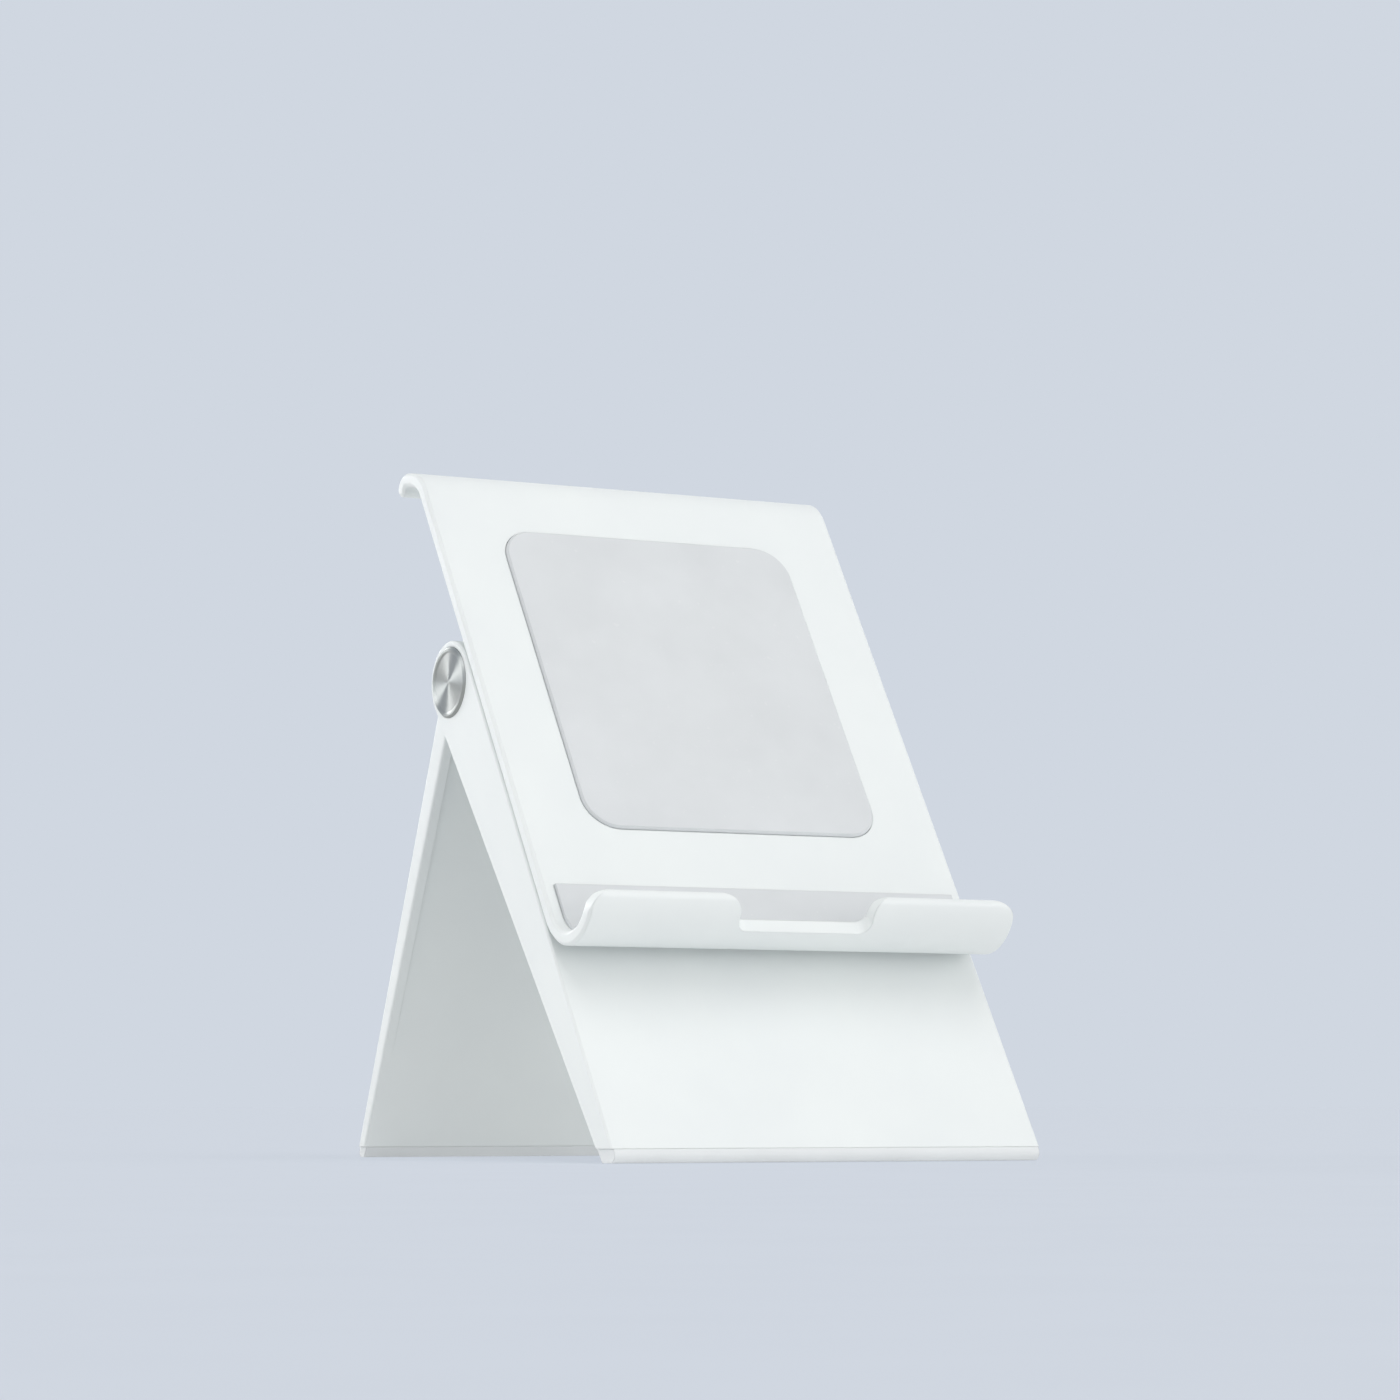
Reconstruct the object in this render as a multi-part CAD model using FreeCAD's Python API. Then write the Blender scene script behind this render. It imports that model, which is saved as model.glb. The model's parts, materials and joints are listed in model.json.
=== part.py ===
import FreeCAD, Part
import math
import os

# Folding desk stand. A holder with a round tray and a curled top slides on the front leg. The front leg is a
# channel with two cheeks, and the rear leg hinges between the cheeks and folds flush into the channel.
# Every body is drawn upright, with the hinge axis along X through the origin, and is then leaned about that
# axis and lifted to the hinge's height. +Z is up, the front faces -Y, and the feet are centred on the
# origin. Lengths are in millimetres and angles in degrees.

# Stance
width = 80.0
hinge_height = 79.4
front_lean = 32.0
rear_lean = 22.3

# Front leg
barrel_radius = 7.0
front_taper = 5.9
front_wall = 2.2
cheek_wall = 2.3
front_edge_break = 0.3
end_rib = 2.5
front_foot_height = 2.2
front_foot_round = 1.25
open_stop = 35.0
stop_gap = 1.0

# Rear leg
rear_gap = 0.2
rear_root = 4.5
rear_taper = 1.55
rear_edge_round = 0.4
rear_foot_height = 1.8
rear_foot_round = 0.8

# Foot strips
foot_inset = 0.4
foot_back_round = 0.5
tongue_inset = 8.0
front_tongue = 1.6
front_tongue_rise = 1.5
rear_tongue = 0.8
rear_tongue_rise = 1.6
tongue_gap = 0.05

# Hinge
axle_radius = 2.0
running_gap = 0.05
bush_wall = 0.75
bush_length = 8.0
swing_gap = 0.35
boss_depth = 5.5
boss_web = 2.1
washer_thickness = 0.5
washer_wall = 2.0
washer_gap = 0.05
spring_thickness = 0.35
spring_dish = 0.25
spring_wall = 1.5
nut_wall = 1.3
nut_thickness = 1.5
pocket_gap = 0.3
cap_ring = 1.05
cap_gap = 0.05
cap_thickness = 1.3
cap_proud = 0.4
cap_chamfer = 0.35
cap_dish = 0.15

# Holder
holder_wall = 2.3
holder_top = 41.5
tray_drop = 61.75
tray_radius = 8.5
lip_short = 39.5
lip_corner = 4.0
cutout_width = 25.0
cutout_reach = 10.6
cutout_corner = 3.4
cutout_floor_corner = 2.0
bend_inside = 5.1
bend_turn = 53.0
curl_flat = 1.7
hook_inside = 0.55
hook_turn = 90.0
holder_edge_break = 0.45

# Silicone pads
pad_seat = 0.08
back_pad_width = 56.0
back_pad_bottom = -36.0
back_pad_top = 26.0
back_pad_corner = 6.0
back_pad_recess = 0.8
back_pad_thickness = 1.3
back_pad_chamfer = 0.35
tray_pad_recess = 0.4
tray_pad_thickness = 0.9
tray_pad_inset = 2.2
tray_pad_rise = 5.6
tray_pad_end = 122.0
tray_pad_margin = 1.2

# Slide
slide_gap = 0.2
slide_travel = 28.0
guide_spacing = 32.0
guide_level = 18.0
guide_radius = 2.5
retainer_height = 12.0
retainer_thickness = 1.2
retainer_end = 8.0
leaf_thickness = 0.4
leaf_height = 5.0
leaf_span = 18.0
leaf_gap = 0.1
screw_radius = 0.8
screw_gap = 0.05
screw_length = 4.6
screw_head_radius = 1.9
screw_head_height = 1.0

# Places worked out from the sizes above
half_width = width / 2
cheek_inside = half_width - cheek_wall
rear_half_width = cheek_inside - rear_gap
hood_inside = barrel_radius - front_wall
knuckle_radius = hood_inside - swing_gap
boss_inside = half_width - boss_depth
knuckle_end = boss_inside - washer_thickness - 2 * washer_gap
bush_radius = axle_radius + running_gap + bush_wall
fold_angle = front_lean + front_taper + rear_lean
hood_edge = fold_angle - front_taper + open_stop + stop_gap
holder_back = -barrel_radius - slide_gap
holder_front = holder_back - holder_wall
tray_axis_y = holder_back - tray_radius
tray_axis_z = tray_radius - tray_drop
tray_inside = tray_radius - holder_wall
cutout_face = holder_back - cutout_reach
bend_outside = bend_inside + holder_wall
hook_outside = hook_inside + holder_wall
retainer_front = -hood_inside + slide_gap
retainer_back = retainer_front + retainer_thickness
leaf_back = retainer_back + leaf_thickness
reach = 2 * hinge_height
overshoot = 1.0
axis_x = FreeCAD.Vector(1, 0, 0)
axis_y = FreeCAD.Vector(0, 1, 0)
axis_z = FreeCAD.Vector(0, 0, 1)
origin = FreeCAD.Vector(0, 0, 0)


def side(y, z):
    """A point of a side profile."""
    return FreeCAD.Vector(0, y, z)


def polar(radius, degrees, centre_y=0.0, centre_z=0.0):
    """A point of a side profile on a circle, with the angle from +Y towards +Z."""
    angle = math.radians(degrees)
    return side(centre_y + radius * math.cos(angle), centre_z + radius * math.sin(angle))


def outline(start, *steps):
    """A closed face. A step is a point, reached by a line, or a pair of points, reached by an arc."""
    edges = []
    here = start
    for step in steps + (start,):
        through = step if isinstance(step, tuple) else (step,)
        there = through[-1]
        if len(through) == 2:
            edges.append(Part.Arc(here, through[0], there).toShape())
        elif not here.isEqual(there, 1e-6):
            edges.append(Part.LineSegment(here, there).toShape())
        here = there
    return Part.Face(Part.Wire(edges))


def across(face, low, high):
    """A side profile stretched along X from low to high."""
    moved = face.copy()
    moved.translate(axis_x * low)
    return moved.extrude(axis_x * (high - low))


def rod(radius, low, high, y=0.0, z=0.0):
    """A cylinder along X."""
    return Part.makeCylinder(radius, high - low, FreeCAD.Vector(low, y, z), axis_x)


def plug(radius, low, high, x, z):
    """A cylinder along Y."""
    return Part.makeCylinder(radius, high - low, FreeCAD.Vector(x, low, z), axis_y)


def box(x0, x1, y0, y1, z0, z1):
    return Part.makeBox(x1 - x0, y1 - y0, z1 - z0, FreeCAD.Vector(x0, y0, z0))


def rounded_plate(half_x, z0, z1, y0, y1, corner):
    """A plate in the XZ plane, from y0 to y1, with round corners."""
    plate = box(-half_x, half_x, y0, y1, z0, z1)
    upright = [edge for edge in plate.Edges if abs(edge.tangentAt(edge.FirstParameter).y) > 0.99]
    return plate.makeFillet(corner, upright)


def lean_front(shape):
    """Leans an upright shape back with the front leg and lifts it to the hinge."""
    placed = shape.copy()
    placed.rotate(origin, axis_x, -front_lean)
    placed.translate(axis_z * hinge_height)
    return placed


def lean_rear(shape):
    """Swings an upright shape out with the rear leg and lifts it to the hinge."""
    placed = shape.copy()
    placed.rotate(origin, axis_x, rear_lean)
    placed.translate(axis_z * hinge_height)
    return placed


def slab(z0, z1):
    """All of the space between two heights above the floor."""
    return box(-width, width, -reach, reach, z0, z1)


def end_edges(shape, x):
    """The edges of a shape that lie in the plane at x."""
    return [edge for edge in shape.Edges if abs(edge.BoundBox.XMin - x) + abs(edge.BoundBox.XMax - x) < 1e-3]


def bottom_edges(shape):
    """The long edges of a foot strip that lie on the floor, front first."""
    low = [edge for edge in shape.Edges if edge.BoundBox.ZMax < 1e-3 and edge.BoundBox.XLength > width / 2]
    return sorted(low, key=lambda edge: edge.BoundBox.YMin)


def mirrored(shape):
    return shape.mirror(origin, axis_x)


def teardrop():
    """Side profile of the front leg: two flat faces tangent to the round top."""
    back = polar(barrel_radius, -front_taper)
    foot_back = back.y - (reach + back.z) * math.tan(math.radians(front_taper))
    return outline(
        side(-barrel_radius, 0),
        (polar(barrel_radius, (180 - front_taper) / 2), back),
        side(foot_back, -reach),
        side(-barrel_radius, -reach),
    )


def short_teardrop():
    """The teardrop cut off square, just past the floor, so that its edges can be broken."""
    below = (hinge_height + barrel_radius) / math.cos(math.radians(front_lean)) + barrel_radius
    return across(teardrop(), -half_width, half_width).common(
        box(-width, width, -reach, reach, -below, 2 * barrel_radius))


def channel():
    """The hollow of the front leg, open at the back, below a hood that covers the front of the knuckle."""
    hood_middle = (180 + hood_edge) / 2
    beyond = 3 * barrel_radius
    profile = outline(
        side(-hood_inside, -reach),
        side(-hood_inside, 0),
        (polar(hood_inside, hood_middle), polar(hood_inside, hood_edge)),
        polar(beyond, hood_edge),
        side(beyond, beyond),
        side(beyond, -reach),
    )
    hollow = lean_front(across(profile, -cheek_inside, cheek_inside))
    return hollow.common(slab(front_foot_height + end_rib, reach))


def guide_slot(x):
    """One slot in the front wall, in which a guide post of the holder travels."""
    top = -guide_level
    bottom = top - slide_travel
    radius = guide_radius + slide_gap
    y0 = -barrel_radius - overshoot
    y1 = -hood_inside + overshoot
    slot = box(x - radius, x + radius, y0, y1, bottom, top)
    slot = slot.fuse(plug(radius, y0, y1, x, top))
    return slot.fuse(plug(radius, y0, y1, x, bottom))


def nut_corner():
    """Radius of the hexagon nut over its corners."""
    return (axle_radius + nut_wall) / math.cos(math.pi / 6)


def cap_recess():
    """Counterbores in the right-hand boss for the cap, the nut and the axle."""
    cap_seat = half_width + cap_proud - cap_thickness
    pocket_floor = boss_inside + boss_web
    recess = rod(barrel_radius - cap_ring + cap_gap, cap_seat, width)
    recess = recess.fuse(rod(nut_corner() + pocket_gap, pocket_floor, cap_seat))
    return recess.fuse(rod(axle_radius + running_gap, 0, pocket_floor))


def make_front_leg():
    leg = short_teardrop()
    long_edges = [edge for x in (-half_width, half_width) for edge in end_edges(leg, x)
                  if edge.BoundBox.ZLength > barrel_radius / 2]
    leg = leg.makeChamfer(front_edge_break, long_edges)
    leg = lean_front(leg).cut(channel()).common(slab(front_foot_height, reach))
    boss = rod(barrel_radius, boss_inside, cheek_inside + cheek_wall / 2)
    recess = cap_recess()
    for part in (boss, mirrored(boss)):
        leg = leg.fuse(lean_front(part))
    cuts = [recess, mirrored(recess), guide_slot(-guide_spacing / 2), guide_slot(guide_spacing / 2)]
    for part in cuts:
        leg = leg.cut(lean_front(part))
    leg = leg.cut(front_tongue_block(tongue_gap))
    return leg.removeSplitter()


def front_tongue_block(gap):
    """The tongue of the front foot strip, or its groove where a gap is given."""
    half = half_width - tongue_inset + gap
    section = lean_front(across(teardrop(), -half, half)).common(
        slab(front_foot_height, front_foot_height + front_tongue_rise + gap))
    middle = section.BoundBox.Center.y
    thick = front_tongue / 2 + gap
    return section.common(box(-width, width, middle - thick, middle + thick, 0, reach))


def make_front_foot_strip():
    half = half_width - foot_inset
    strip = lean_front(across(teardrop(), -half, half)).common(slab(0, front_foot_height))
    strip = strip.makeFillet(front_foot_round, [bottom_edges(strip)[0]])
    strip = strip.makeFillet(foot_back_round, [bottom_edges(strip)[-1]])
    return strip.fuse(front_tongue_block(0)).removeSplitter()


def rear_panel_profile():
    """Side profile of the rear leg's panel: a flat outer face and an inner face that tapers to the foot."""
    inner_foot = barrel_radius - rear_root + reach * math.tan(math.radians(rear_taper))
    return outline(
        side(barrel_radius, 0),
        side(barrel_radius, -reach),
        side(inner_foot, -reach),
        side(barrel_radius - rear_root, 0),
    )


def rear_length():
    """Length of the rear leg's outer face, from level with the hinge axis down to the floor."""
    lean = math.radians(rear_lean)
    return (hinge_height + barrel_radius * math.sin(lean)) / math.cos(lean)


def make_rear_leg():
    length = rear_length()
    panel = across(rear_panel_profile(), -rear_half_width, rear_half_width).common(
        box(-width, width, -reach, reach, -length, barrel_radius))
    panel = panel.makeFillet(rear_edge_round, [
        edge for edge in panel.Edges if edge.BoundBox.ZLength > length / 2])
    clearance = rod(barrel_radius + swing_gap, knuckle_end, width)
    leg = panel.fuse(rod(knuckle_radius, -knuckle_end, knuckle_end))
    bore = rod(axle_radius + swing_gap, -knuckle_end, knuckle_end)
    seat = rod(bush_radius, knuckle_end - bush_length, knuckle_end)
    for part in (clearance, mirrored(clearance), bore, seat, mirrored(seat)):
        leg = leg.cut(part)
    leg = lean_rear(leg).common(slab(rear_foot_height, reach))
    return leg.cut(rear_tongue_block(tongue_gap)).removeSplitter()


def rear_tongue_block(gap):
    """The tongue of the rear foot strip, or its groove where a gap is given."""
    half = rear_half_width - tongue_inset + gap
    section = lean_rear(across(rear_panel_profile(), -half, half)).common(
        slab(rear_foot_height, rear_foot_height + rear_tongue_rise + gap))
    middle = section.BoundBox.Center.y
    thick = rear_tongue / 2 + gap
    return section.common(box(-width, width, middle - thick, middle + thick, 0, reach))


def make_rear_foot_strip():
    half = rear_half_width - foot_inset
    strip = lean_rear(across(rear_panel_profile(), -half, half)).common(slab(0, rear_foot_height))
    strip = strip.makeFillet(rear_foot_round, [bottom_edges(strip)[-1]])
    strip = strip.makeFillet(foot_back_round, [bottom_edges(strip)[0]])
    return strip.fuse(rear_tongue_block(0)).removeSplitter()


def make_hinge_bush():
    return rod(bush_radius, knuckle_end - bush_length, knuckle_end).cut(
        rod(axle_radius + running_gap, knuckle_end - bush_length, knuckle_end))


def make_friction_washer():
    low = knuckle_end + washer_gap
    high = low + washer_thickness
    return rod(axle_radius + washer_wall, low, high).cut(rod(axle_radius + running_gap, low, high))


def make_disc_spring():
    """A dished washer between the nut and the web of the boss."""
    seat = boss_inside + boss_web
    inner = axle_radius + running_gap
    outer = axle_radius + spring_wall
    section = outline(
        FreeCAD.Vector(seat, inner, 0),
        FreeCAD.Vector(seat + spring_thickness, inner, 0),
        FreeCAD.Vector(seat + spring_thickness + spring_dish, outer, 0),
        FreeCAD.Vector(seat + spring_dish, outer, 0),
    )
    return section.revolve(origin, axis_x, 360)


def nut_seat():
    return boss_inside + boss_web + spring_thickness + spring_dish


def make_hinge_axle():
    half = nut_seat() + nut_thickness
    return rod(axle_radius, -half, half)


def make_hinge_nut():
    corners = [polar(nut_corner(), 60 * index) for index in range(6)]
    low = nut_seat()
    return across(outline(*corners), low, low + nut_thickness).cut(
        rod(axle_radius + running_gap, low, low + nut_thickness))


def make_hinge_cap():
    """A turned cap with a chamfered rim and a slightly dished face."""
    low = half_width + cap_proud - cap_thickness
    high = half_width + cap_proud
    radius = barrel_radius - cap_ring
    flat = radius - cap_chamfer
    section = outline(
        FreeCAD.Vector(low, 0, 0),
        FreeCAD.Vector(low, radius, 0),
        FreeCAD.Vector(high - cap_chamfer, radius, 0),
        FreeCAD.Vector(high, flat, 0),
        FreeCAD.Vector(high, flat - cap_chamfer, 0),
        FreeCAD.Vector(high - cap_dish, flat - 2 * cap_chamfer, 0),
        FreeCAD.Vector(high - cap_dish, 0, 0),
    )
    return section.revolve(origin, axis_x, 360)


def on_tray(radius, degrees):
    """A point of a side profile on a circle round the tray's axis."""
    return polar(radius, degrees, tray_axis_y, tray_axis_z)


def curl_axes():
    """The axes of the curl's two bends, the one next to the plate first."""
    bend_end = 180 - bend_turn
    shift = polar(bend_inside - hook_inside, bend_end) + polar(curl_flat, bend_end - 90)
    hook_axis = side(holder_front + bend_outside + shift.y, holder_top - hook_outside)
    return hook_axis - shift, hook_axis


def lip_tip():
    """The middle of the lip's round edge, and the way that the edge faces."""
    lip_end = lip_short - 180
    ahead = polar(1, lip_end - 90)
    return on_tray(tray_radius - holder_wall / 2, lip_end) + ahead * (holder_wall / 2), ahead


def holder_profile():
    """Side profile of the holder: one wall from the tray's lip, up the back plate, to the curled top."""
    lip_end = lip_short - 180
    bend_axis, hook_axis = curl_axes()
    bend_middle = 180 - bend_turn / 2
    bend_end = 180 - bend_turn
    hook_middle = bend_end - hook_turn / 2
    hook_end = bend_end - hook_turn
    hook_tip = polar(hook_inside + holder_wall / 2, hook_end) + polar(holder_wall / 2, hook_end - 90)
    return outline(
        side(holder_back, tray_axis_z),
        (on_tray(tray_radius, lip_end / 2), on_tray(tray_radius, lip_end)),
        (lip_tip()[0], on_tray(tray_inside, lip_end)),
        (on_tray(tray_inside, lip_end / 2), side(holder_front, tray_axis_z)),
        side(holder_front, bend_axis.z),
        (bend_axis + polar(bend_outside, bend_middle), bend_axis + polar(bend_outside, bend_end)),
        hook_axis + polar(hook_outside, bend_end),
        (hook_axis + polar(hook_outside, hook_middle), hook_axis + polar(hook_outside, hook_end)),
        (hook_axis + hook_tip, hook_axis + polar(hook_inside, hook_end)),
        (hook_axis + polar(hook_inside, hook_middle), hook_axis + polar(hook_inside, bend_end)),
        bend_axis + polar(bend_inside, bend_end),
        (bend_axis + polar(bend_inside, bend_middle), side(holder_back, bend_axis.z)),
    )


def cutout(margin):
    """The gap between the two finger lips, wider by a margin, with round corners at the tray's floor."""
    half = cutout_width / 2 + margin
    face_y = cutout_face + margin
    gap = box(-half, half, tray_axis_y - 2 * tray_radius, face_y, tray_axis_z - 2 * tray_radius,
              tray_axis_z + tray_radius)
    upright = [edge for edge in gap.Edges if edge.BoundBox.ZLength > tray_radius]
    inner = [edge for edge in upright if edge.BoundBox.YMin > face_y - 1e-3]
    return gap.makeFillet(cutout_floor_corner + margin, inner)


def lip_corner_cut(end, inward, radius):
    """What is cut from a lip to round its corner. The lip lies inward, +1 or -1 along X, of its end."""
    edge, ahead = lip_tip()
    through = polar(tray_radius / 2, lip_short - 180)

    def spot(x, rise):
        return edge - through + axis_x * x + ahead * rise

    turn = radius * (1 - math.sqrt(0.5))
    inner = end + inward * radius
    outer = end - inward * radius
    face = outline(
        spot(inner, 0),
        (spot(end + inward * turn, -turn), spot(end, -radius)),
        spot(outer, -radius),
        spot(outer, radius),
        spot(inner, radius),
    )
    return face.extrude(through * 2)


def tray_liner(outer, inner, half, rise):
    """A band that follows the tray's inside from the lip and part of the way up the plate."""
    end = -tray_pad_end
    back_y = tray_axis_y + outer
    profile = outline(
        side(back_y, tray_axis_z + rise),
        side(back_y, tray_axis_z),
        (on_tray(outer, end / 2), on_tray(outer, end)),
        on_tray(inner, end),
        (on_tray(inner, end / 2), side(tray_axis_y + inner, tray_axis_z)),
        side(tray_axis_y + inner, tray_axis_z + rise),
    )
    return across(profile, -half, half)


def make_holder():
    holder = across(holder_profile(), -half_width, half_width)
    ends = end_edges(holder, -half_width) + end_edges(holder, half_width)
    holder = holder.makeChamfer(holder_edge_break, ends)
    inner_corner = lip_corner_cut(cutout_width / 2, 1, cutout_corner)
    outer_corner = lip_corner_cut(half_width, -1, lip_corner)
    for part in (cutout(0), inner_corner, mirrored(inner_corner), outer_corner, mirrored(outer_corner)):
        holder = holder.cut(part)
    liner_seat = tray_liner(tray_inside + tray_pad_recess, tray_inside - overshoot,
                            half_width - tray_pad_inset + pad_seat, tray_pad_rise + pad_seat)
    liner_seat = liner_seat.cut(cutout(tray_pad_margin - pad_seat))
    pad_recess = rounded_plate(back_pad_width / 2 + pad_seat, back_pad_bottom - pad_seat,
                               back_pad_top + pad_seat, holder_front - overshoot,
                               holder_front + back_pad_recess, back_pad_corner + pad_seat)
    holder = holder.cut(liner_seat).cut(pad_recess)
    pilot_front = leaf_back - screw_length - screw_gap
    for x in (-guide_spacing / 2, guide_spacing / 2):
        holder = holder.fuse(plug(guide_radius, holder_back, retainer_front, x, -guide_level))
        holder = holder.cut(plug(screw_radius + screw_gap, pilot_front, retainer_front, x, -guide_level))
    return lean_front(holder.removeSplitter())


def make_back_pad():
    front = holder_front + back_pad_recess - back_pad_thickness
    pad = rounded_plate(back_pad_width / 2, back_pad_bottom, back_pad_top, front,
                        holder_front + back_pad_recess, back_pad_corner)
    rim = [edge for edge in pad.Edges if abs(edge.BoundBox.YMax - front) < 1e-3]
    return lean_front(pad.makeChamfer(back_pad_chamfer, rim))


def make_tray_pad():
    outer = tray_inside + tray_pad_recess - pad_seat
    pad = tray_liner(outer, outer - tray_pad_thickness, half_width - tray_pad_inset, tray_pad_rise)
    return lean_front(pad.cut(cutout(tray_pad_margin)))


def make_slide_retainer():
    half = guide_spacing / 2 + retainer_end
    low = -guide_level - retainer_height / 2
    plate = rounded_plate(half, low, low + retainer_height, retainer_front, retainer_back,
                          retainer_height / 3)
    window = rounded_plate((leaf_span + screw_head_radius) / 2, -guide_level - leaf_height / 2 - slide_gap,
                           -guide_level + leaf_height / 2 + slide_gap, retainer_front - overshoot,
                           retainer_back + overshoot, leaf_height / 4)
    plate = plate.cut(window)
    for x in (-guide_spacing / 2, guide_spacing / 2):
        plate = plate.cut(plug(screw_radius + screw_gap, retainer_front, retainer_back, x, -guide_level))
    return lean_front(plate)


def make_leaf_spring():
    """A strip clamped under the screw heads, bowed through the retainer's window towards the front wall."""
    bow = leaf_back - leaf_thickness + hood_inside - leaf_gap
    half_span = leaf_span / 2
    radius = (half_span ** 2 + bow ** 2) / (2 * bow)
    end = guide_spacing / 2 + screw_head_radius
    low = -guide_level - leaf_height / 2

    def spot(x, y):
        return FreeCAD.Vector(x, y, low)

    turn = math.asin(half_span / radius)
    inner = radius - leaf_thickness
    axis = retainer_back - bow + radius
    shoulder = inner * math.sin(turn)
    strip = outline(
        spot(-end, retainer_back),
        spot(-half_span, retainer_back),
        (spot(0, retainer_back - bow), spot(half_span, retainer_back)),
        spot(end, retainer_back),
        spot(end, leaf_back),
        spot(shoulder, leaf_back),
        (spot(0, axis - inner), spot(-shoulder, leaf_back)),
        spot(-end, leaf_back),
    ).extrude(axis_z * leaf_height)
    for x in (-guide_spacing / 2, guide_spacing / 2):
        strip = strip.cut(plug(screw_radius + screw_gap, retainer_front, leaf_back, x, -guide_level))
    return lean_front(strip)


def make_retainer_screws():
    """Two pan-head screws that hold the leaf and the retainer on the guide posts."""
    screws = []
    for x in (-guide_spacing / 2, guide_spacing / 2):
        shank = plug(screw_radius, leaf_back - screw_length, leaf_back, x, -guide_level)
        head = plug(screw_head_radius, leaf_back, leaf_back + screw_head_height, x, -guide_level)
        rim = [edge for edge in head.Edges if edge.BoundBox.YMin > leaf_back + screw_head_height / 2]
        screws.append(lean_front(head.makeChamfer(screw_head_height / 2, rim).fuse(shank)))
    return Part.makeCompound(screws)


def pair(shape):
    """The left-hand and the right-hand copy of a hinge piece, leaned with the front leg."""
    return lean_front(mirrored(shape)), lean_front(shape)


def swung_pair(shape):
    """The left-hand and the right-hand copy of a hinge piece, swung with the rear leg."""
    return lean_rear(mirrored(shape)), lean_rear(shape)


nodes = {
    "front_leg": make_front_leg(),
    "front_foot_strip": make_front_foot_strip(),
    "hinge_axle": lean_front(make_hinge_axle()),
    "rear_leg": make_rear_leg(),
    "rear_foot_strip": make_rear_foot_strip(),
    "holder": make_holder(),
    "back_pad": make_back_pad(),
    "tray_pad": make_tray_pad(),
    "slide_retainer": make_slide_retainer(),
    "slide_leaf_spring": make_leaf_spring(),
    "retainer_screws": make_retainer_screws(),
}
nodes["hinge_nut_left"], nodes["hinge_nut_right"] = pair(make_hinge_nut())
nodes["disc_spring_left"], nodes["disc_spring_right"] = pair(make_disc_spring())
nodes["hinge_cap_left"], nodes["hinge_cap_right"] = pair(make_hinge_cap())
nodes["hinge_bush_left"], nodes["hinge_bush_right"] = swung_pair(make_hinge_bush())
nodes["friction_washer_left"], nodes["friction_washer_right"] = swung_pair(make_friction_washer())

stance_front = nodes["front_foot_strip"].BoundBox.YMin
stance_back = nodes["rear_foot_strip"].BoundBox.YMax
hinge_y = -(stance_front + stance_back) / 2

os.makedirs("parts", exist_ok=True)
for name, shape in nodes.items():
    shape.translate(axis_y * hinge_y)
    shape.exportStep("parts/" + name + ".step")
print("hinge axis at y %.4f, z %.4f" % (hinge_y, hinge_height))
print("fold angle %.2f" % fold_angle)
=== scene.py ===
import json
import math

import bmesh
import bpy
from mathutils import Matrix, Vector


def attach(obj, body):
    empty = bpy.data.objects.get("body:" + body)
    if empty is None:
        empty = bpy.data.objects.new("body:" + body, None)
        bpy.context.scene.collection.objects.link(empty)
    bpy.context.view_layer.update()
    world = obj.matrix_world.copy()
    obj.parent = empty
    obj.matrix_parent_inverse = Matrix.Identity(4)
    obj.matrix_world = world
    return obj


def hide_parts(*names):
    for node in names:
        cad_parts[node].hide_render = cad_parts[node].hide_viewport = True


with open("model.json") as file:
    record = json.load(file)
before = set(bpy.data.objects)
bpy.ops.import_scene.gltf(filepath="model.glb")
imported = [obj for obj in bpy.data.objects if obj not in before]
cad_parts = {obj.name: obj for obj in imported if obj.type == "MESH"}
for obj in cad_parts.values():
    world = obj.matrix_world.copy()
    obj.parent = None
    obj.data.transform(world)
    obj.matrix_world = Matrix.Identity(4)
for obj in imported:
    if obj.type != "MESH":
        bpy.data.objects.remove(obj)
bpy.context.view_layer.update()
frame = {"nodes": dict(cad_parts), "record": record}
nodes = frame["nodes"]
scene = bpy.context.scene

# How the stand stands at rest. The hinge axis runs along X, and the holder slides along the front leg.
joints = {joint["name"]: joint for joint in frame["record"]["behaviour"]["joints"]}
HINGE = Vector(joints["rear_leg_hinge"]["pos_m"])
SLIDE = Vector(joints["holder_slide"]["axis"])
FRONT_LEAN = math.atan2(SLIDE.y, SLIDE.z)
REAR_LEAN = math.radians(22.3)

# A retainer screw, along its own Y axis with the underside of its head at 0.
SCREW_RADIUS = 0.0008
SCREW_LENGTH = 0.0046
SCREW_TIP = 0.0003
SCREW_HEAD_RADIUS = 0.0019
SCREW_HEAD_EDGE = 0.0003
SCREW_HEAD_TOP = 0.001
SCREW_SIDES = 48
DOME_STEPS = 7

# An arm of the screw's cross recess: half its length and half its width, at the mouth and at the floor.
RECESS_MOUTH = (0.0012, 0.00034)
RECESS_FLOOR = (0.0006, 0.0002)
RECESS_FLOOR_LEVEL = 0.00038
RECESS_OVERSHOOT = 0.0002

# Where the screws sit on the upright front leg, from the hinge axis, and the degrees each is turned by.
SCREW_SPACING = 0.032
SCREW_SEAT_Y = -0.003
SCREW_SEAT_Z = -0.018
SCREW_TURNS = (20.0, 65.0)

# The hollow in the rear leg's inner face, on the upright leg, from the hinge axis.
REAR_OUTER_FACE = 0.0070
REAR_PANEL_WALL = 0.0026
REAR_SIDE_WALL = 0.0019
HOLLOW_TOP = -0.0105
HOLLOW_BOTTOM = -0.080
HOLLOW_CORNER = 0.0025
HOLLOW_CORNER_STEPS = 8
HOLLOW_REACH = 0.004

# Edges that turn by more than this stay sharp, and points nearer than this are joined.
SCREW_SHARP = math.radians(32.0)
SHELL_SHARP = math.radians(24.0)
SEAM = 1e-6
SLIVER = 2e-6
SHELL_WELD = 1e-7

QUARTER_TURN = math.radians(90.0)


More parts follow.
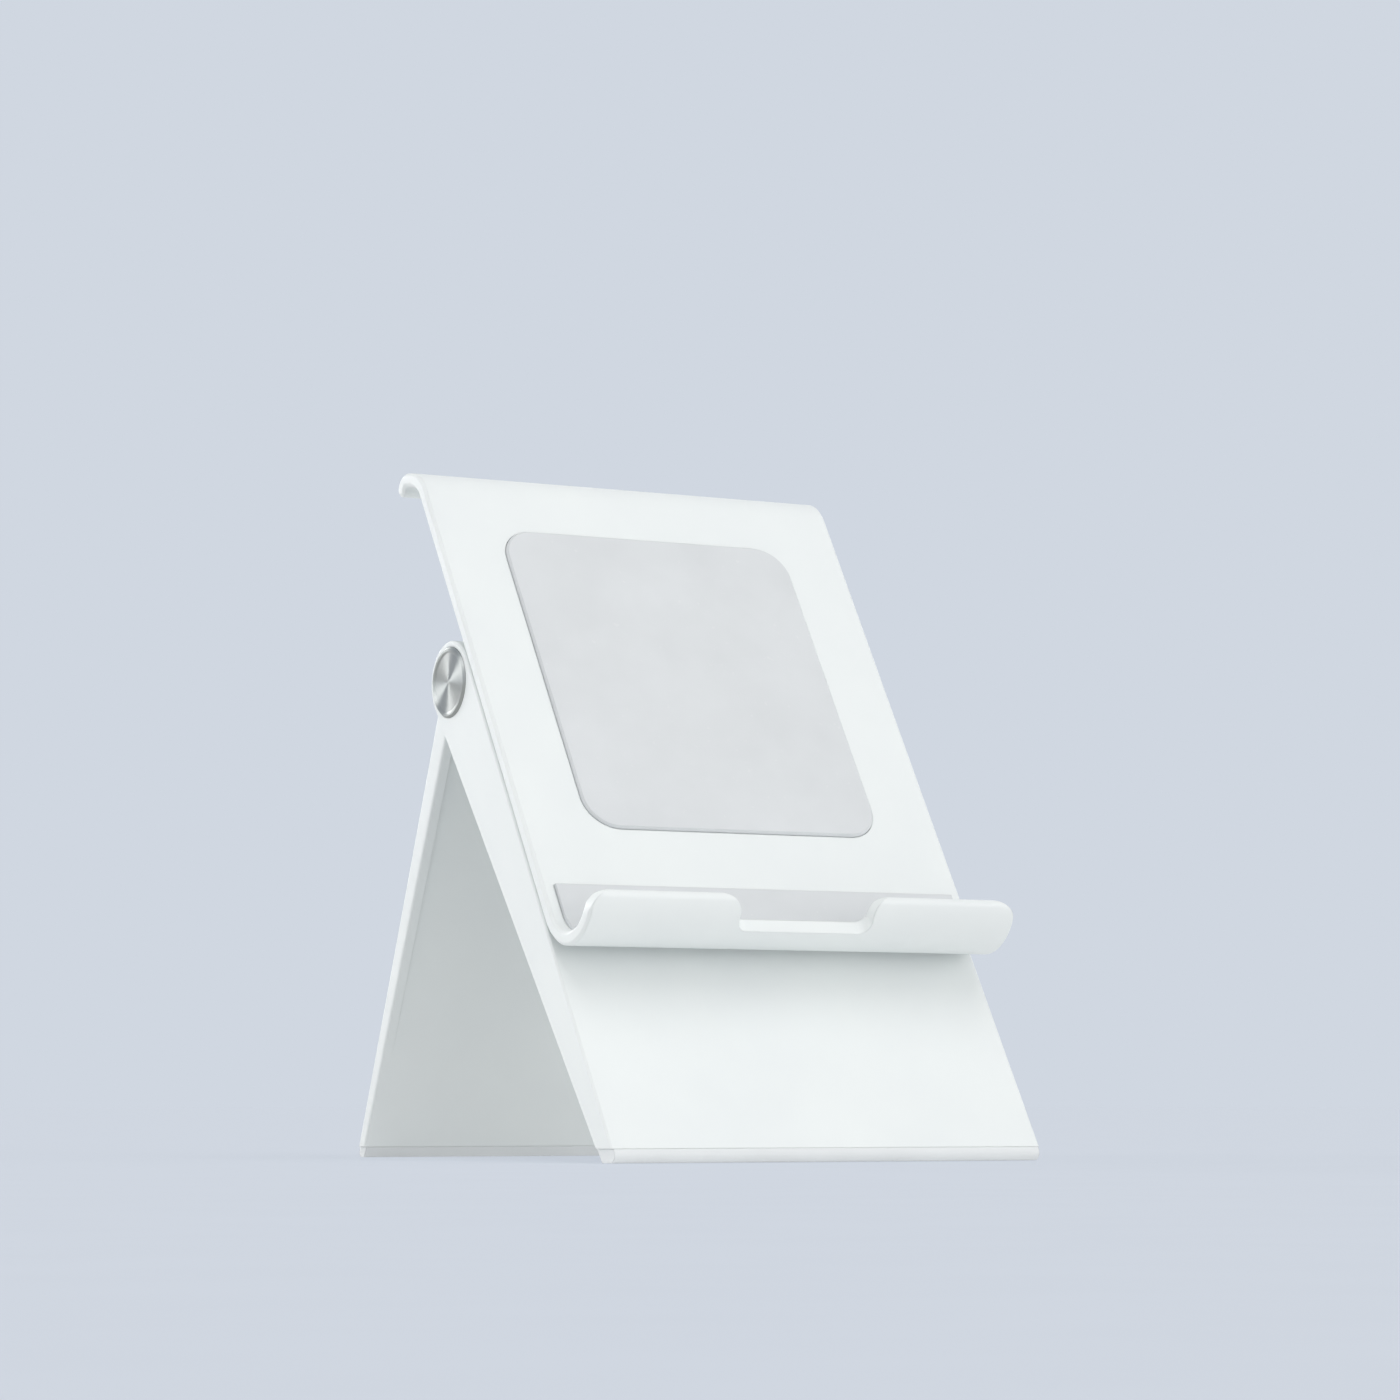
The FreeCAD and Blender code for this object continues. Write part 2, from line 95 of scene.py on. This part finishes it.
def srgb(red, green, blue):
    """A display colour, 0 to 255, as linear values."""
    channels = [c / 255 for c in (red, green, blue)]
    linear = [c / 12.92 if c <= 0.04045 else ((c + 0.055) / 1.055) ** 2.4 for c in channels]
    return (*linear, 1.0)


WHITE = (1.0, 1.0, 1.0, 1.0)
BACKDROP = srgb(208, 215, 225)
LINT = srgb(232, 233, 234)
LINT_SHARE = 0.25

# The floor, just under the feet. The shares are how much of it glows, for other rays and for the camera.
FLOOR_SIZE = 60.0
FLOOR_DROP = 0.0001
FLOOR_SEEN = srgb(203, 211, 223)
FLOOR_GLOW = 0.38
FLOOR_GLOW_SEEN = 0.75

# The light from all round: its strength at the level of the floor and straight overhead.
DOME_LEVEL = 0.12
DOME_OVERHEAD = 0.60

# The lamps: the direction each lies in, its strength, and the degrees it is seen over.
LAMPS = {
    "overhead": ((-0.05, -0.43, 0.90), 0.90, 45.0),
    "front_fill": ((0.42, -0.88, 0.14), 1.06, 60.0),
    "right_fill": ((0.86, -0.50, 0.13), 0.55, 50.0),
    "left_high": ((-0.80, 0.10, 0.60), 0.24, 40.0),
    "left_panel": ((-0.86, 0.41, 0.26), 0.82, 25.0),
    "back_panel": ((-0.20, 0.94, 0.27), 0.60, 18.0),
}

# The camera: its place and view in metres, its lens and sensor in millimetres.
CAMERA_PLACE = (-0.3643, -0.63965, 0.0088)
CAMERA_VIEW = (0.49620, 0.86320, 0.09307)
CAMERA_NEAREST = 0.01
CAMERA_LENS = 111.754
CAMERA_SENSOR = 36.0


class NodeTree:
    """A node tree under construction, with short ways to add nodes and links."""

    def __init__(self, tree):
        self.tree = tree

    def node(self, kind, **settings):
        made = self.tree.nodes.new(kind)
        for key, value in settings.items():
            setattr(made, key, value)
        return made

    def link(self, source, target):
        self.tree.links.new(source, target)

    def noise(self, scale, detail=2.0, roughness=0.5, vector=None):
        made = self.node("ShaderNodeTexNoise")
        made.inputs["Scale"].default_value = scale
        made.inputs["Detail"].default_value = detail
        made.inputs["Roughness"].default_value = roughness
        if vector is None:
            vector = self.node("ShaderNodeTexCoord").outputs["Object"]
        self.link(vector, made.inputs["Vector"])
        return made.outputs["Fac"]

    def ramp(self, value, *stops):
        """Colours or greys along a value: each stop is (place, colour)."""
        made = self.node("ShaderNodeValToRGB")
        elements = made.color_ramp.elements
        while len(elements) < len(stops):
            elements.new(0.5)
        for element, (place, colour) in zip(elements, stops):
            element.position = place
            element.color = colour if isinstance(colour, tuple) else (colour, colour, colour, 1.0)
        self.link(value, made.inputs["Fac"])
        return made.outputs["Color"]

    def span(self, value, low, high, from_low=0.0, from_high=1.0):
        """A value carried over from one range to another."""
        made = self.node("ShaderNodeMapRange")
        made.inputs["From Min"].default_value = from_low
        made.inputs["From Max"].default_value = from_high
        made.inputs["To Min"].default_value = low
        made.inputs["To Max"].default_value = high
        self.link(value, made.inputs["Value"])
        return made.outputs["Result"]

    def math(self, operation, first, second):
        made = self.node("ShaderNodeMath", operation=operation)
        for socket, value in zip(made.inputs, (first, second)):
            if isinstance(value, (int, float)):
                socket.default_value = value
            else:
                self.link(value, socket)
        return made.outputs["Value"]

    def blend(self, share, first, second):
        """Two shaders mixed, with this share of the second."""
        made = self.node("ShaderNodeMixShader")
        for value, socket in zip((share, first, second), made.inputs):
            self.link(value, socket)
        return made.outputs["Shader"]

    def bump(self, height, distance, strength=1.0, normal=None):
        made = self.node("ShaderNodeBump")
        made.inputs["Distance"].default_value = distance
        made.inputs["Strength"].default_value = strength
        self.link(height, made.inputs["Height"])
        if normal is not None:
            self.link(normal, made.inputs["Normal"])
        return made.outputs["Normal"]

    def soft_edges(self, radius):
        made = self.node("ShaderNodeBevel", samples=6)
        made.inputs["Radius"].default_value = radius
        return made.outputs["Normal"]


class Shader(NodeTree):
    """The node tree of a new material, with the settings of its main surface."""

    def __init__(self, name):
        self.material = bpy.data.materials.new(name)
        self.material.use_nodes = True
        super().__init__(self.material.node_tree)
        self.bsdf = self.tree.nodes["Principled BSDF"]

    def set(self, **values):
        for key, value in values.items():
            socket = self.bsdf.inputs[key.replace("_", " ")]
            if isinstance(value, bpy.types.NodeSocket):
                self.link(value, socket)
            else:
                socket.default_value = value


def white_plastic():
    """Satin white moulding: a fine spark texture, and a faint unevenness of tone and gloss."""
    shader = Shader("white_plastic")
    tone = shader.noise(scale=38.0, detail=3.0, roughness=0.55)
    grain = shader.noise(scale=5200.0, detail=2.0, roughness=0.6)
    flow = shader.noise(scale=160.0, detail=2.0, roughness=0.5)
    gloss = shader.span(flow, low=0.36, high=0.46)
    rounded = shader.soft_edges(radius=0.00035)
    shader.set(
        Base_Color=shader.ramp(tone, (0.3, srgb(235, 239, 239)), (0.7, srgb(239, 243, 242))),
        Roughness=shader.math("ADD", gloss, shader.span(grain, low=-0.04, high=0.04)),
        Normal=shader.bump(grain, distance=0.000012, strength=0.6, normal=rounded),
        IOR=1.52,
        Specular_IOR_Level=0.45,
    )
    return shader.material


def silicone(name, darker, lighter):
    """Matte pale silicone with a fine grain and a few specks of lint."""
    shader = Shader(name)
    tone = shader.noise(scale=60.0, detail=3.0, roughness=0.55)
    grain = shader.noise(scale=3800.0, detail=3.0, roughness=0.65)
    lint = shader.noise(scale=950.0, detail=1.0, roughness=0.4)
    specks = shader.span(lint, low=0.0, high=1.0, from_low=0.72, from_high=0.78)
    mix = shader.node("ShaderNodeMix", data_type="RGBA", blend_type="MIX")
    shader.link(shader.math("MULTIPLY", specks, LINT_SHARE), mix.inputs["Factor"])
    shader.link(shader.ramp(tone, (0.3, darker), (0.7, lighter)), mix.inputs["A"])
    mix.inputs["B"].default_value = LINT
    rounded = shader.soft_edges(radius=0.00025)
    shader.set(
        Base_Color=mix.outputs["Result"],
        Roughness=shader.span(grain, low=0.68, high=0.86),
        Normal=shader.bump(grain, distance=0.00002, strength=0.7, normal=rounded),
        IOR=1.41,
        Specular_IOR_Level=0.35,
    )
    return shader.material


def spun_aluminium():
    """A turned face: fine circular lines that draw the highlights out into cones."""
    shader = Shader("spun_aluminium")
    from_hinge = shader.node("ShaderNodeVectorMath", operation="SUBTRACT")
    shader.link(shader.node("ShaderNodeTexCoord").outputs["Object"], from_hinge.inputs[0])
    from_hinge.inputs[1].default_value = HINGE
    flat = shader.node("ShaderNodeVectorMath", operation="MULTIPLY")
    shader.link(from_hinge.outputs["Vector"], flat.inputs[0])
    flat.inputs[1].default_value = (0.0, 1.0, 1.0)
    radius = shader.node("ShaderNodeVectorMath", operation="LENGTH")
    shader.link(flat.outputs["Vector"], radius.inputs[0])
    outward = shader.node("ShaderNodeCombineXYZ")
    shader.link(radius.outputs["Value"], outward.inputs["X"])
    lines = shader.noise(scale=16000.0, detail=3.0, roughness=0.7, vector=outward.outputs["Vector"])
    bands = shader.noise(scale=2400.0, detail=1.0, roughness=0.5, vector=outward.outputs["Vector"])
    gloss = shader.span(lines, low=0.36, high=0.46)
    tangent = shader.node("ShaderNodeTangent", direction_type="RADIAL", axis="X")
    shader.set(
        Base_Color=shader.ramp(lines, (0.3, srgb(156, 159, 157)), (0.7, srgb(190, 192, 189))),
        Metallic=1.0,
        Roughness=shader.math("ADD", gloss, shader.span(bands, low=-0.04, high=0.04)),
        Anisotropic=1.0,
        Anisotropic_Rotation=0.25,
        Tangent=tangent.outputs["Tangent"],
        Normal=shader.bump(lines, distance=0.000006, strength=0.5),
    )
    return shader.material


def steel():
    """Zinc-plated steel with a fine uneven grain."""
    shader = Shader("steel")
    grain = shader.noise(scale=2600.0, detail=3.0, roughness=0.6)
    patches = shader.noise(scale=700.0, detail=2.0, roughness=0.5)
    shader.set(
        Base_Color=shader.ramp(patches, (0.3, srgb(184, 186, 190)), (0.7, srgb(196, 198, 201))),
        Metallic=1.0,
        Roughness=shader.span(grain, low=0.26, high=0.44),
        Normal=shader.bump(grain, distance=0.000008, strength=0.5),
    )
    return shader.material


def bearing_plastic():
    """Off-white acetal, a little waxy."""
    shader = Shader("bearing_plastic")
    tone = shader.noise(scale=90.0, detail=2.0, roughness=0.5)
    grain = shader.noise(scale=3000.0, detail=2.0, roughness=0.5)
    shader.set(
        Base_Color=shader.ramp(tone, (0.3, srgb(222, 222, 216)), (0.7, srgb(231, 231, 226))),
        Roughness=shader.span(grain, low=0.38, high=0.5),
        Normal=shader.bump(grain, distance=0.000008, strength=0.5),
        IOR=1.48,
    )
    return shader.material


finishes = {
    "white_plastic": white_plastic(),
    "silicone": silicone("pad_silicone", srgb(216, 219, 221), srgb(222, 225, 227)),
    "spun_aluminium": spun_aluminium(),
    "steel": steel(),
    "bearing_plastic": bearing_plastic(),
}
foot_finish = silicone("foot_silicone", srgb(227, 230, 231), srgb(232, 235, 236))
for entry in frame["record"]["subparts"]:
    mesh = nodes[entry["node"]].data
    mesh.materials.clear()
    is_foot = entry["node"].endswith("foot_strip")
    mesh.materials.append(foot_finish if is_foot else finishes[entry["material_slot"]])


def as_object(name, mesh):
    """A new object in the scene with this mesh, which is used up."""
    data = bpy.data.meshes.new(name)
    mesh.to_mesh(data)
    mesh.free()
    made = bpy.data.objects.new(name, data)
    scene.collection.objects.link(made)
    return made


def carved(blank, cutters):
    """The mesh of an object with others cut out of it. All of them are used up."""
    for cutter in cutters:
        cut = blank.modifiers.new("cut", "BOOLEAN")
        cut.operation = "DIFFERENCE"
        cut.solver = "EXACT"
        cut.object = cutter
    finished = bpy.data.meshes.new_from_object(blank.evaluated_get(bpy.context.evaluated_depsgraph_get()))
    for spare in [blank] + cutters:
        bpy.data.objects.remove(spare)
    return finished


def finish_surface(piece, finish, sharp_angle):
    """Gives a piece its material and smooth shading, with its sharp edges kept."""
    piece.data.materials.append(finishes[finish])
    piece.data.shade_smooth()
    piece.data.set_sharp_from_angle(angle=sharp_angle)


def turned(profile, steps):
    """A mesh turned about Y from points of (radius, y), the first and the last on the axis."""
    mesh = bmesh.new()
    points = [mesh.verts.new((radius, y, 0.0)) for radius, y in profile]
    edges = [mesh.edges.new(pair) for pair in zip(points, points[1:])]
    bmesh.ops.spin(mesh, geom=points + edges, cent=(0, 0, 0), axis=(0, 1, 0), angle=math.tau, steps=steps)
    bmesh.ops.remove_doubles(mesh, verts=mesh.verts, dist=SEAM)
    bmesh.ops.recalc_face_normals(mesh, faces=mesh.faces)
    return mesh


def tapered_slot(along_x):
    """One arm of the cross recess. It starts above the head, and narrows to its floor."""
    mesh = bmesh.new()
    levels = ((SCREW_HEAD_TOP + RECESS_OVERSHOOT, RECESS_MOUTH), (RECESS_FLOOR_LEVEL, RECESS_FLOOR))
    for y, (half_long, half_wide) in levels:
        for u in (-half_long, half_long):
            for v in (-half_wide, half_wide):
                mesh.verts.new((u, y, v) if along_x else (v, y, u))
    bmesh.ops.convex_hull(mesh, input=mesh.verts)
    bmesh.ops.recalc_face_normals(mesh, faces=mesh.faces)
    return mesh


def cross_head_screw():
    """A pan-head screw along Y, with its head's underside at y 0."""
    profile = [
        (0.0, -SCREW_LENGTH),
        (SCREW_RADIUS - SCREW_TIP, -SCREW_LENGTH),
        (SCREW_RADIUS, SCREW_TIP - SCREW_LENGTH),
        (SCREW_RADIUS, 0.0),
        (SCREW_HEAD_RADIUS, 0.0),
    ]
    for step in range(DOME_STEPS + 1):
        turn = QUARTER_TURN * step / DOME_STEPS
        rise = (SCREW_HEAD_TOP - SCREW_HEAD_EDGE) * math.sin(turn)
        profile.append((SCREW_HEAD_RADIUS * math.cos(turn), SCREW_HEAD_EDGE + rise))
    slots = [as_object("screw_slot", tapered_slot(along_x)) for along_x in (True, False)]
    return carved(as_object("screw_blank", turned(profile, SCREW_SIDES)), slots)


def screw_pair():
    """The two screws that hold the leaf and the retainer on the guide posts, inside the front leg."""
    one = cross_head_screw()
    lean = Matrix.Translation(HINGE) @ Matrix.Rotation(-FRONT_LEAN, 4, "X")
    both = bmesh.new()
    for x, turn in zip((-SCREW_SPACING / 2, SCREW_SPACING / 2), SCREW_TURNS):
        before = len(both.verts)
        both.from_mesh(one)
        both.verts.ensure_lookup_table()
        seat = Matrix.Translation((x, SCREW_SEAT_Y, SCREW_SEAT_Z))
        place = lean @ seat @ Matrix.Rotation(math.radians(turn), 4, "Y")
        bmesh.ops.transform(both, matrix=place, verts=both.verts[before:])
    bmesh.ops.dissolve_degenerate(both, dist=SLIVER, edges=both.edges)
    screws = as_object("cross_head_screws", both)
    finish_surface(screws, "steel", SCREW_SHARP)
    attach(screws, "holder")
    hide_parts("retainer_screws")


def hollow_block(leg):
    """What is hollowed out of the leg. Its panel keeps its wall, so the hollow ends where the leg thins."""
    half = max((leg.matrix_world @ vertex.co).x for vertex in leg.data.vertices) - REAR_SIDE_WALL
    right = []
    for step in range(HOLLOW_CORNER_STEPS + 1):
        turn = QUARTER_TURN * step / HOLLOW_CORNER_STEPS
        x = half - HOLLOW_CORNER + HOLLOW_CORNER * math.cos(turn)
        right.append((x, HOLLOW_TOP - HOLLOW_CORNER + HOLLOW_CORNER * math.sin(turn)))
    left = [(-x, z) for x, z in reversed(right)]
    outline = [(half, HOLLOW_BOTTOM)] + right + left + [(-half, HOLLOW_BOTTOM)]
    floor_y = REAR_OUTER_FACE - REAR_PANEL_WALL
    mesh = bmesh.new()
    face = mesh.faces.new([mesh.verts.new((x, floor_y, z)) for x, z in outline])
    raised = bmesh.ops.extrude_face_region(mesh, geom=[face])["geom"]
    corners = [item for item in raised if isinstance(item, bmesh.types.BMVert)]
    bmesh.ops.translate(mesh, vec=(0.0, -HOLLOW_REACH, 0.0), verts=corners)
    bmesh.ops.recalc_face_normals(mesh, faces=mesh.faces)
    mesh.transform(Matrix.Translation(HINGE) @ Matrix.Rotation(REAR_LEAN, 4, "X"))
    return mesh


def rear_leg_shell():
    """The rear leg as moulded: a panel whose two side walls run out towards the foot."""
    leg = nodes["rear_leg"]
    solid = bmesh.new()
    solid.from_mesh(leg.data)
    solid.transform(leg.matrix_world)
    bmesh.ops.remove_doubles(solid, verts=solid.verts, dist=SHELL_WELD)
    hollow = as_object("rear_leg_hollow", hollow_block(leg))
    hollowed = carved(as_object("rear_leg_blank", solid), [hollow])
    shell = bpy.data.objects.new("rear_leg_shell", bpy.data.meshes.new("rear_leg_shell"))
    points = [vertex.co for vertex in hollowed.vertices]
    faces = [list(polygon.vertices) for polygon in hollowed.polygons]
    shell.data.from_pydata(points, [], faces)
    scene.collection.objects.link(shell)
    finish_surface(shell, "white_plastic", SHELL_SHARP)
    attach(shell, "rear")
    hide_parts("rear_leg")


screw_pair()
rear_leg_shell()


def paper_floor():
    """Pale paper. The camera sees mostly its glow, close to the backdrop, with a soft shadow on it."""
    shader = Shader("paper_floor")
    paper = shader.noise(scale=60.0, detail=2.0, roughness=0.5)
    shader.set(
        Base_Color=shader.ramp(paper, (0.3, srgb(223, 226, 230)), (0.7, srgb(227, 230, 234))),
        Roughness=0.9,
        Specular_IOR_Level=0.1,
    )
    seen = shader.node("ShaderNodeLightPath").outputs["Is Camera Ray"]
    glow = shader.node("ShaderNodeEmission")
    shader.link(shader.ramp(seen, (0.0, WHITE), (1.0, FLOOR_SEEN)), glow.inputs["Color"])
    share = shader.span(seen, low=FLOOR_GLOW, high=FLOOR_GLOW_SEEN)
    surface = shader.blend(share, shader.bsdf.outputs["BSDF"], glow.outputs["Emission"])
    shader.link(surface, shader.tree.nodes["Material Output"].inputs["Surface"])
    return shader.material


bpy.ops.mesh.primitive_plane_add(size=FLOOR_SIZE, location=(0, 0, -FLOOR_DROP))
floor = bpy.context.object
floor.name = "floor"
floor.data.materials.append(paper_floor())


def studio_world():
    """White light that is strongest overhead. What is seen or mirrored of it is the plain backdrop."""
    world = bpy.data.worlds.new("studio")
    world.use_nodes = True
    studio = NodeTree(world.node_tree)
    light = studio.tree.nodes["Background"]
    light.inputs["Color"].default_value = WHITE
    upward = studio.node("ShaderNodeSeparateXYZ")
    studio.link(studio.node("ShaderNodeTexCoord").outputs["Generated"], upward.inputs["Vector"])
    strength = studio.span(upward.outputs["Z"], low=DOME_LEVEL, high=DOME_OVERHEAD)
    studio.link(strength, light.inputs["Strength"])
    backdrop = studio.node("ShaderNodeBackground")
    backdrop.inputs["Color"].default_value = BACKDROP
    rays = studio.node("ShaderNodeLightPath").outputs
    seen = studio.math("MAXIMUM", rays["Is Camera Ray"], rays["Is Glossy Ray"])
    seen = studio.math("MAXIMUM", seen, rays["Is Transmission Ray"])
    surface = studio.blend(seen, light.outputs["Background"], backdrop.outputs["Background"])
    studio.link(surface, studio.tree.nodes["World Output"].inputs["Surface"])
    return world


def look_along(thing, direction):
    """Turns a lamp or a camera to face along a direction."""
    thing.rotation_euler = Vector(direction).to_track_quat("-Z", "Y").to_euler()


def far_lamp(name, towards, power, spread):
    """A large soft lamp far away in the direction given, seen over this many degrees."""
    light = bpy.data.lights.new(name, "SUN")
    light.energy = power
    light.angle = math.radians(spread)
    lamp = bpy.data.objects.new(name, light)
    look_along(lamp, -Vector(towards))
    scene.collection.objects.link(lamp)


scene.world = studio_world()
for lamp_name, (towards, power, spread) in LAMPS.items():
    far_lamp(lamp_name, towards, power, spread)

camera = bpy.data.objects.new("camera", bpy.data.cameras.new("camera"))
camera.data.sensor_width = CAMERA_SENSOR
camera.data.lens = CAMERA_LENS
camera.data.clip_start = CAMERA_NEAREST
camera.location = CAMERA_PLACE
look_along(camera, CAMERA_VIEW)
scene.collection.objects.link(camera)
scene.camera = camera
scene.view_settings.view_transform = "Standard"
